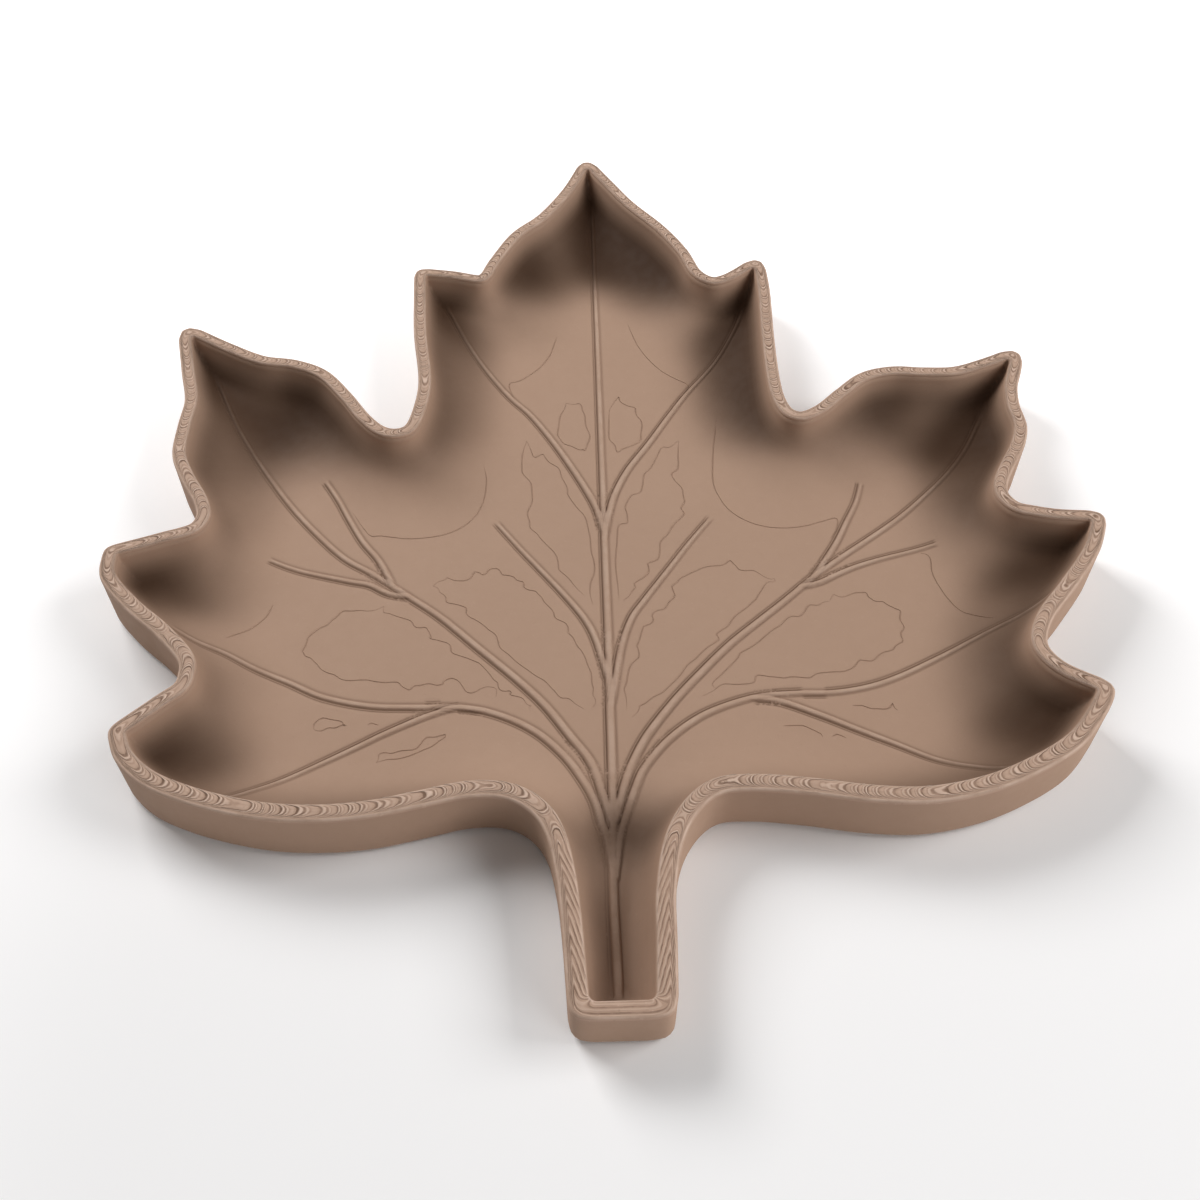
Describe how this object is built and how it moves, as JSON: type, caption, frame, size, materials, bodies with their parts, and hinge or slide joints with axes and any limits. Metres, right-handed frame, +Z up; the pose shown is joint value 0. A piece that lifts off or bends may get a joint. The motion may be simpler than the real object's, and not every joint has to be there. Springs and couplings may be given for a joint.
{
  "type": "leaf shaped serving tray",
  "caption": "Shallow leaf shaped tray with a coved wall, a crowned textured rim, raised branching veins on the floor and a short open stem channel.",
  "frame": {"origin": "middle of the overall box at the flat underside", "axes": "+Z up out of the dish, +Y from the stem to the tip of the top lobe, +X to the right seen from the stem"},
  "size_m": [0.3003, 0.3502, 0.0207],
  "materials": {
    "body": "matte taupe moulding",
    "rim": "matte taupe, paler, with a fine grain pattern"
  },
  "bodies": {
    "root": {"floor_panel": "body", "stem_channel": "body", "right_lower_lobe": "body", "right_side_lobe": "body", "right_upper_lobe": "body", "crown_lobe": "body", "left_upper_lobe": "body", "left_side_lobe": "body", "left_lower_lobe": "body", "rim_band": "rim", "midrib": "body", "right_lower_vein": "body", "right_lower_branch": "body", "right_upper_vein": "body", "right_outer_branch": "body", "right_inner_branch": "body", "right_short_vein": "body", "right_crown_vein": "body", "left_lower_vein": "body", "left_lower_branch": "body", "left_upper_vein": "body", "left_outer_branch": "body", "left_inner_branch": "body", "left_short_vein": "body", "left_crown_vein": "body"}
  },
  "joints": []
}
